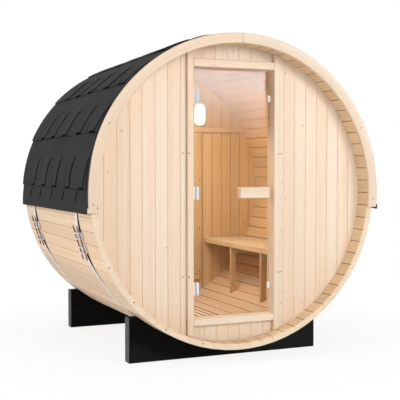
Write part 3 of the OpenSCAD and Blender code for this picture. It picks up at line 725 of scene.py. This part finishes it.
def fascia():
    """Two bent boards over the front ends of the staves."""
    low, high, front, back, bevel = STAVE_INNER, 0.975, -FASCIA_DEPTH, -FIT, 0.004
    drop, joint, ease, taper = 0.094, 0.0009, 0.002, 0.9
    section = (
        (low, front + bevel), (low + bevel, front), (high - bevel, front), (high, front + bevel),
        (high, back - bevel / 2), (high - bevel / 2, back), (low + bevel / 2, back), (low, back - bevel / 2),
    )
    middle = Vector(((low + high) / 2, (front + back) / 2))
    for side, name in SIDES:
        rings = []
        for share in (0.0, ease, *spread(0.01, 0.99, 1 / 80), 1 - ease, 1.0):
            ring = []
            for point in section:
                if share in (0.0, 1.0):
                    point = middle + (Vector(point) - middle) * taper
                radius, y = point
                start = -degrees(asin(drop / radius))
                stop = 90 - degrees(joint / radius)
                ring.append(polar(radius, start + (stop - start) * share, y, side))
            rings.append(ring)
        shape = Shape().sweep(rings, rng.random())
        make("fascia_board_" + name, shape, fascia_wood, ["fascia_" + name], smooth=25)


def cradles():
    half, depth, bevel, radius = 0.648, 0.083, 0.004, 0.9512
    under, top = -AXIS_HEIGHT, 0.277 - AXIS_HEIGHT
    rim = half_chord(radius, top)
    start, stop = atan2(top, -rim), atan2(top, rim)
    arc = [start + (stop - start) * i / 40 for i in range(41)]
    outline = [(-half, under), (half, under), (half, top)]
    outline += [(radius * cos(t), radius * sin(t)) for t in reversed(arc)]
    outline += [(-half, top)]
    for name, y in CRADLES.items():
        shape = Shape().prism(outline, y, y + depth, bevel)
        make(name + "_saddle", shape, black_timber, [name + "_cradle"])


def course_outer(number, angle):
    """Outer radius of a course at the rear end of the roof."""
    low, top = COURSE_LOWS[number], COURSE_LOWS[number + 1] + HEADLAP
    butt, end = COURSE_RADII[number]
    return butt + (end - butt) * (angle - low) / (top - low)


def roof_rise(angle, y):
    """How much higher the roof stands than at its rear end."""
    share = clamp((angle - COURSE_LOWS[0]) / SLOPE_BLEND)
    slope = EAVE_SLOPE + (ROOF_SLOPE - EAVE_SLOPE) * share * share * (3 - 2 * share)
    return slope * max(SLOPE_END - max(y, SLOPE_START), 0.0)


class Course:
    """One course of shingles on one side of the roof."""

    def __init__(self, number, side):
        self.number, self.side = number, side
        self.starter, self.last = number == 0, number == LAST_COURSE
        self.low, self.top = COURSE_LOWS[number], COURSE_LOWS[number + 1] + HEADLAP
        self.feet = TOP_SLOT_FEET if self.last else STARTER_SLOT_FEET if self.starter else SLOT_FEET
        self.ends = [0.0, *self.feet, STAVE_LENGTH]
        self.slot_low = self.low + STARTER_SLOT_LOW if self.starter else self.low
        self.slot_angle = TOP_SLOT_ANGLE if self.last else SLOT_ANGLE
        self.slot_high = self.top if self.starter else self.low + self.slot_angle
        self.slant = STARTER_SLANT if self.starter else SLOT_SLANT
        self.ramp = self.feet[0] if self.starter else FRONT_RAMP
        self.jitter = [rng.uniform(-FOOT_JITTER, FOOT_JITTER) for _ in self.feet]
        self.tones = [rng.random() for _ in self.ends[1:]]
        self.lifts = [TAB_LIFT * rng.uniform(*LIFT_VARIES) for _ in self.ends[1:]]
        self.phases = [rng.uniform(0, tau) for _ in WAVES]
        self.cuts = [(self.slot_low, self.slot_high, 0.0, SLOT_WIDTH)]
        if not self.starter:
            self.cuts += [(self.low, self.low + NOTCH_ANGLE, 0.0, SLOT_WIDTH + NOTCH_LENGTH),
                          (self.slot_high - TICK_ANGLE, self.slot_high, -TICK_LENGTH, 0.0)]

    def rows(self):
        return filled({self.low, self.low + NOTCH_ANGLE, self.low + BUTT_EASE, self.slot_low,
                       self.slot_high - TICK_ANGLE, self.slot_high, self.top}, ROW_STEP)

    def columns(self):
        marks = {0.0, STAVE_LENGTH}
        for foot in self.feet:
            marks |= {foot - TICK_LENGTH, foot}
            marks |= {foot + SLOT_WIDTH + step for step in (0.0, 0.02, 0.05, NOTCH_LENGTH, LIFT_REACH)}
        return filled({mark for mark in marks if 0.0 <= mark <= STAVE_LENGTH}, COLUMN_STEP)

    def tab(self, y):
        """Number of the tab at a place."""
        return sum(1 for foot in self.feet if y > foot + SLOT_WIDTH / 2)

    def up(self, angle):
        """Share of the slots' length under an angle."""
        return (angle - self.slot_low) / self.slot_angle

    def shifted(self, angle, y):
        """Place moved by the slots' slant and uneven spacing, but not at the ends."""
        slant = -self.slant * min(max(self.up(angle), SLANT_FROM), 1.0)
        inside = clamp(min(y / self.ramp, (STAVE_LENGTH - y) / REAR_RAMP))
        nearest = min(range(len(self.feet)), key=lambda k: abs(self.feet[k] - y))
        return FIT + (y + (slant + self.jitter[nearest]) * inside) * (1 - FIT / STAVE_LENGTH)

    def turned(self, angle, y):
        """Angle moved where the left eave runs out of line."""
        if not self.starter or self.side > 0 or angle >= self.slot_low:
            return angle
        skew = EAVE_SKEW[0] + (EAVE_SKEW[1] - EAVE_SKEW[0]) * y / STAVE_LENGTH
        return angle + skew * (self.slot_low - angle) / (self.slot_low - self.low)

    def climb(self, angle, tab, place):
        """Rise over the rear end, tab by tab in the top course."""
        if not self.last:
            return roof_rise(angle, place)
        if tab == 0 and angle < self.slot_high:
            return FRONT_CLIMB
        rise = roof_rise(angle, (self.ends[tab] + self.ends[tab + 1]) / 2)
        if tab == 0:
            settle = clamp((angle - SETTLE_START) / SETTLE_REACH)
            rise = rise * (1 - SETTLE_SHARE * settle) + FRONT_TAB_LIFT
        return rise

    def lift(self, angle, tab, y):
        """How far a tab stands up, most at its front edge."""
        if tab == 0:
            return 0.0
        reach = max(0.0, 1 - (y - self.feet[tab - 1] - SLOT_WIDTH) / LIFT_REACH)
        if self.starter:
            hold = STARTER_HOLD * clamp(min((angle - self.slot_low) / STARTER_FADE, STARTER_HOLD_TOP - angle))
        else:
            hold = clamp((1 - self.up(angle)) / HOLD_FADE)
        return self.lifts[tab] * reach ** LIFT_CURVE * hold

    def outer(self, angle, y, place):
        """Radius of the upper face, whose lower edge is pressed flat near the front."""
        outer = flush = course_outer(self.number, angle)
        if not self.starter and angle < self.low + BUTT_EASE:
            flush = course_outer(self.number - 1, angle) + BUTT_EDGE
            flush += (outer - flush) * (angle - self.low) / BUTT_EASE
        full = clamp((place - EASED_TO[0]) / (EASED_TO[1] - EASED_TO[0]))
        tab = self.tab(y)
        radius = flush + (outer - flush) * full + self.climb(angle, tab, place)
        for (height, pace, lean), phase in zip(WAVES, self.phases):
            radius += height * sin(pace * y + phase + lean * angle)
        return radius + self.lift(angle, tab, y)

    def under(self, angle, place):
        low = EAVE_UNDER if self.starter else course_outer(self.number - 1, self.low) + FIT
        top = COURSE_RADII[self.number][1] - SHEET
        return low + (top - low) * (angle - self.low) / (self.top - self.low) + roof_rise(angle, place)

    def is_cut(self, angle, y):
        """Whether a place lies in a slot, a notch or a tick."""
        return any(low < angle < high and start < y - foot < end
                   for low, high, start, end in self.cuts for foot in self.feet)

    def add_to(self, shape):
        rows, columns = self.rows(), self.columns()
        tops, unders = [], []
        for angle in rows:
            line = [(y, self.shifted(angle, y), self.turned(angle, y)) for y in columns]
            tops.append([polar(self.outer(angle, y, place), turned, place, self.side)
                         for y, place, turned in line])
            unders.append([polar(self.under(angle, place), turned, place, self.side)
                           for _, place, turned in line])
        kept = {(r, c) for r in range(len(rows) - 1) for c in range(len(columns) - 1)
                if not self.is_cut((rows[r] + rows[r + 1]) / 2, (columns[c] + columns[c + 1]) / 2)}
        shape.shell(tops, unders, kept, [[self.tones[self.tab(y)] for y in columns]] * len(rows))


def arc_sheet(shape, low, high, outer, thick, start, end, side):
    """Sheet bent round the barrel; outer gives its radius at an angle and a place."""
    rows = spread(low, high, ROW_STEP)
    columns = spread(start, end, SHEET_COLUMN_STEP)
    shape.sheet(*[[[polar(outer(angle, y) - depth, angle, y, side) for y in columns] for angle in rows]
                  for depth in (0.0, thick)])


def roof():
    """Courses with felt lapped over the fascia, and the underlay that shows in the slots, with glue strips
    kept black as painted shade under the notches.
    """
    for side, name in SIDES:
        shape = Shape()
        for number in range(LAST_COURSE + 1):
            Course(number, side).add_to(shape)
        rows = spread(*LAP_ROWS[name])
        fronts = [-LAP_DEPTH * min(1.0, (LAP_END - angle) / LAP_TAPER) for angle in rows]
        lap = [[[polar(radius, angle, y, side) for y in (front, front / 2, 0.0)]
                for angle, front in zip(rows, fronts)] for radius in LAP_RADII]
        shape.sheet(*lap, 0.5)
        make("shingle_courses_" + name, shape, slate_felt, ["shingles_" + name], smooth=35)
        liner = Shape()
        arc_sheet(liner, COURSE_LOWS[0] + LINER_START, 90.0, lambda angle, y: LINER_RADIUS, LINER_THICK,
                  LINER_INSET, STAVE_LENGTH - LINER_INSET, side)
        # Strips of glue under each course's lower edge, black so they also stand in as painted shade in the
        # notches.
        for below, low in enumerate(COURSE_LOWS[1:-1]):
            arc_sheet(liner, low + GLUE_SHADE_LOW, low + GLUE_SHADE_HIGH,
                      lambda angle, y: course_outer(below, angle) + roof_rise(angle, y) + GLUE_SHADE_RISE,
                      GLUE_SHADE_THICK, GLUE_SHADE_INSET, STAVE_LENGTH - GLUE_SHADE_INSET, side)
        make("roof_underlay_" + name, liner, underlay_felt, smooth=35)


def ridge():
    """Overlapping caps, each with its rear edge on the next one."""
    lift, tilt, bulge, sink, skew = 0.006, 0.005, 0.002, 0.003, 0.3
    droop, reach = 0.011, 0.1
    edge = 90 - RIDGE_HALF
    base = course_outer(LAST_COURSE, edge)
    shape = Shape()
    for start, end in zip(RIDGE_STARTS, (*RIDGE_STARTS[1:], STAVE_LENGTH)):
        left, right = (edge + rng.uniform(-skew, skew) for _ in range(2))
        middle = base + roof_rise(90, (start + end) / 2) + lift
        places = [(y, droop * max(0.0, 1 - y / reach)) for y in spread(start + FIT, end, 0.05)]
        tops, unders = [], []
        for angle in spread(left, 180 - right, 1.0):
            crown = middle + bulge * max(0.0, 1 - ((angle - 90) / RIDGE_HALF) ** 2)
            tops.append([polar(crown + tilt * (y - start) / (end - start) - fall, angle, y)
                         for y, fall in places])
            unders.append([polar(base + roof_rise(90, y) - sink - fall, angle, y) for y, fall in places])
        shape.sheet(tops, unders, rng.random())
    make("ridge_caps", shape, slate_felt, ["ridge_cap"], smooth=35)


def straps():
    """Straps that stand off the staves beside the tensioners, on black pads that reach out in front of them
    as a painted shadow.
    """
    inner, thick, half, ease = 0.9513, 0.0012, 0.0225, 0.0006
    lift, lift_start, lift_length = 0.006, 3.0, 6.0
    shadow_pad_outer, shadow_pad_thick, shadow_pad_front = 0.9512, 0.0002, 0.034
    section = ((0.0, -half), (thick, -half + ease), (thick, half - ease), (0.0, half))
    for name, y in STRAPS.items():
        shape, shadow_pads = Shape(), Shape()
        for start, stop in ((-UPPER_CLAMP, 180 + UPPER_CLAMP), (180 + LOWER_CLAMP, 360 - LOWER_CLAMP)):
            rings = []
            for angle in spread(start, stop, 2.0):
                near = min(angle - start, stop - angle)
                base = inner + lift * clamp(1 - (near - lift_start) / lift_length)
                rings.append([polar(base + rise, angle, y + along) for rise, along in section])
            shape.sweep(rings)
        make(name + "_strap", shape, strap_steel, [name + "_band"], smooth=25)
        # Black pads under the straps, reaching 11.5 mm past their front edges: painted shadow.
        for side, (start, stop) in product((-1, 1), ((-UPPER_CLAMP, -5.0), (-34.0, -LOWER_CLAMP))):
            arc_sheet(shadow_pads, start, stop, lambda angle, place: shadow_pad_outer, shadow_pad_thick,
                      y - shadow_pad_front, y + half, side)
        make(name + "_strap_shadow_pads", shadow_pads, underlay_felt, smooth=25)


def turned_frame(side, angle, y):
    """Places points given outward, along and up, at an angle under the horizontal."""
    c, s = cos(radians(angle)), sin(radians(angle))
    return lambda point: (side * (point[0] * c + point[2] * s), y + point[1], point[2] * c - point[0] * s)


def rod_ring(along, up, radius, sides):
    return [(ROD_RADIUS + radius * cos(t), along + radius * sin(t), up)
            for t in (tau * i / sides for i in range(sides))]


def tensioners():
    """Channels joined by threaded rods with washers and brass nuts."""
    clamps, rods, nuts = Shape(), Shape(), Shape()
    foot, plate, length, half, bevel = 0.9525, 0.003, 0.04, 0.056, 0.0008
    flange, near_tall, far, far_tall = 0.0025, 0.026, 0.0375, 0.022
    middle, past = (UPPER_CLAMP + LOWER_CLAMP) / 2, 0.044
    span = ROD_RADIUS * tan(radians(LOWER_CLAMP - middle))
    threads = spread(-span - past, span + past, 0.0022)
    for y, side in product(STRAPS.values(), (-1, 1)):
        for angle, inward in ((UPPER_CLAMP, -1), (LOWER_CLAMP, 1)):
            clamps.place = turned_frame(side, angle, y)
            low, high = sorted((-inward * plate, inward * length))
            clamps.block((foot, -half, low), (foot + plate, half, high), bevel)
            for up, tall in ((0.0, near_tall), (inward * far, far_tall)):
                clamps.block((foot + plate, -half, up - flange), (foot + tall, half, up + flange), bevel)
        rods.place = nuts.place = clamps.place = turned_frame(side, middle, y)
        for along in (-0.042, 0.042):
            rods.sweep([rod_ring(along, up, THREAD_RADII[k % 2], 12) for k, up in enumerate(threads)])
            for end, (shape, profile, sides) in product((-1, 1), ((clamps, WASHER, 20), (nuts, NUT, 6))):
                shape.sweep([rod_ring(along, end * (span + up), radius, sides) for up, radius in profile])
    make("tensioner_channels", clamps, strap_steel, ["tensioner_brackets"])
    make("tensioner_threads", rods, rod_steel, ["tensioner_rods"], smooth=50)
    make("tensioner_nuts", nuts, nut_brass)


def slats(node, count, gap, rim=0.0):
    low, high = node_box(node)
    width = (high.x - low.x + gap) / count - gap
    shape = Shape()
    for i in range(count):
        left = low.x + i * (width + gap)
        shape.block((left, low.y, low.z), (left + width, high.y, high.z), SLAT_BEVEL, rng.random(), rim)
    return shape


def bench_and_duckboard():
    make("bench_seat", slats("bench_slats", 4, 0.012), bench_wood, ["bench_slats"])
    # Dark rims on the slats: painted shade in the gaps of the duckboard.
    make("duckboard_boards", slats("duckboard_slats", 8, 0.009, 0.85), duckboard_wood,
         ["duckboard_slats"])


def handle():
    low, high = node_box("door_handle")
    shape = Shape().block(low, high, 0.004, 0.4)
    make("handle_grip", shape, rail_wood, ["door_handle"], body="door")
    bolts = Shape()
    for x in (low.x + BOLT_INSET, high.x - BOLT_INSET):
        bolts.stud((x, BOLT_FACE, (low.z + high.z) / 2), BACKWARD, *BOLT_HEAD)
    make("handle_bolts", bolts, hinge_metal, body="door", smooth=30)


def fasteners():
    nails = Shape()
    for z, (x, y) in product((0.25, -0.5), FRAME_NAILS):
        nails.stud((x, y, z), FORWARD, *BOARD_HEAD)
    for side, angle in product((-1, 1), (-2.6, 26.2)):
        nails.stud(polar(0.944, angle, -FASCIA_DEPTH, side), FORWARD, *FASCIA_HEAD)
    for angle, radius in ((-25.9, 0.938), (-41.7, 0.928), (-58.0, 0.934), (-74.0, 0.93)):
        nails.stud(polar(radius, angle, 0.0, -1), FORWARD, *STAVE_HEAD)
    for x in spread(-0.68, 0.68, 0.137):
        nails.stud((x, BATTEN_FACE, 0.455), FORWARD, *BATTEN_HEAD)
    for x, z in product((-0.409, 0.409), (0.39, 0.06, -0.326, -0.663)):
        nails.stud((x, BATTEN_FACE, z), FORWARD, *BATTEN_HEAD)
    make("nails", nails, nail_steel, smooth=30)
    screws, ribs = Shape(), Shape()
    for z in (-0.585, 0.006, 0.597):
        for x, rise in product((-0.251, -0.229), (-0.024, 0.024)):
            screws.stud((x, HINGE_FRONT, z + rise), FORWARD, *SCREW_HEAD)
            screws.stud((x, HINGE_BACK, z + rise), BACKWARD, *SCREW_HEAD)
        # Dark strips down the hinge plates: painted shade.
        ribs.block((RIB_X[0], RIB_FRONT, z - RIB_HALF), (RIB_X[1], HINGE_FRONT, z + RIB_HALF), RIB_BEVEL)
    make("hinge_screws", screws, hinge_metal, body="door", smooth=30)
    make("hinge_ribs", ribs, hinge_painted_shade, body="door")


def dress_nodes():
    """Materials of the nodes that stay as they were packed."""
    finishes = {
        stave_wood: [name for name in nodes if name.startswith("staves_")],
        post_wood: ["rear_posts", "bench_legs"],
        bench_wood: ["bench_bearers"],
        duckboard_wood: ["duckboard_bearers"],
        hinge_metal: ["hinge_plates", "hinge_brackets"],
        door_pane: ["door_glass"],
        white_plastic: ["lamp_base", "door_catches"],
        lamp_glass: ["lamp_cover"],
    }
    for material, names in finishes.items():
        for name in names:
            slots = nodes[name].data.materials
            slots.clear()
            slots.append(material)


def flat_sheet(name, low, high, material):
    """Rectangle between two corners, with two sides along X."""
    mesh = bpy.data.meshes.new(name)
    corners = [low, (high[0], *low[1:]), high, (low[0], *high[1:])]
    mesh.from_pydata(corners, [], [(0, 1, 2, 3)])
    mesh.materials.append(material)
    return link(name, mesh)


def softbox(name, place, target, size, power, colour=(1, 1, 1)):
    """Area light that shiny and clear things don't show."""
    light = bpy.data.lights.new(name, "AREA")
    light.shape = "RECTANGLE"
    light.size, light.size_y = size
    light.energy = power
    light.color = colour
    lamp = link(name, light)
    lamp.location = place
    lamp.rotation_euler = (Vector(target) - Vector(place)).to_track_quat("-Z", "Y").to_euler()
    lamp.visible_camera = lamp.visible_glossy = lamp.visible_transmission = False


def reflector():
    """Card that only reflections show, brighter towards its top."""
    s = Surface("reflector")
    glow = s.times(s.math("POWER", s.remap(s.axes()[2], 1.4, 2.2), 1.7), 92.0)
    shine = s.close(s.add("Emission", {"Color": (0.95, 0.97, 1.0, 1), "Strength": glow})[0])
    card = flat_sheet("reflector", (1.5, -5.5, 1.3), (3.2, -5.5, 3.0), shine)
    card.visible_camera = card.visible_diffuse = card.visible_shadow = False
    card.visible_transmission = card.visible_volume_scatter = False


def paper_floor():
    half = 30.0
    s = Surface("floor")
    place = s.place()
    speck = s.noise(place, 3.0, 2.0)
    diffuse = s.add("BsdfDiffuse", {
        "Color": s.ramp(speck, (0.3, (0.86, 0.86, 0.86)), (0.7, (0.9, 0.9, 0.9))),
    })[0]
    white = s.add("Emission", {"Color": (1, 1, 1, 1), "Strength": 1.0})[0]
    far = s.add("VectorMath", {0: place}, operation="LENGTH")["Value"]
    share = s.times(s.seen(), s.remap(far, 0.9, 2.0, 0.84, 1.0))
    paper = s.close(s.mixed(share, diffuse, white))
    floor = flat_sheet("floor", (-half, -half, 0), (half, half, 0), paper)


def studio():
    scene = bpy.context.scene
    scene.view_settings.view_transform = "Standard"

    data = bpy.data.cameras.new("camera")
    data.sensor_width = 36.0
    data.lens = 79.39
    camera = link("camera", data)
    camera.location = (-2.4005, -5.625, 1.2134)
    camera.rotation_euler = (radians(90 - 2.36), 0.0, radians(-23.852))
    scene.camera = camera

    s = Surface("studio", "World")
    fill = s.add("Background", {"Color": (0.97, 0.985, 1.0, 1), "Strength": 0.6})[0]
    white = s.add("Background", {"Color": (1, 1, 1, 1), "Strength": 1.0})[0]
    scene.world = s.close(s.mixed(s.seen(), fill, white))

    softbox("left_key", (-6.5, -0.9, 2.4), (-0.9, 0.0, 0.9), (2.4, 3.0), 195)
    softbox("front_key", (1.2, -6.7, 3.6), (0, -0.6, 0.9), (4.0, 2.2), 200)
    softbox("cabin_fill", (-0.1, -0.05, 1.56), (0.2, 0.3, 0.5), (0.7, 0.9), 13, (1.0, 0.95, 0.86))
    reflector()
    paper_floor()


studio()
dress_nodes()
front_and_rear_walls()
rear_framing()
door_frame()
fascia()
cradles()
roof()
ridge()
straps()
tensioners()
bench_and_duckboard()
handle()
fasteners()
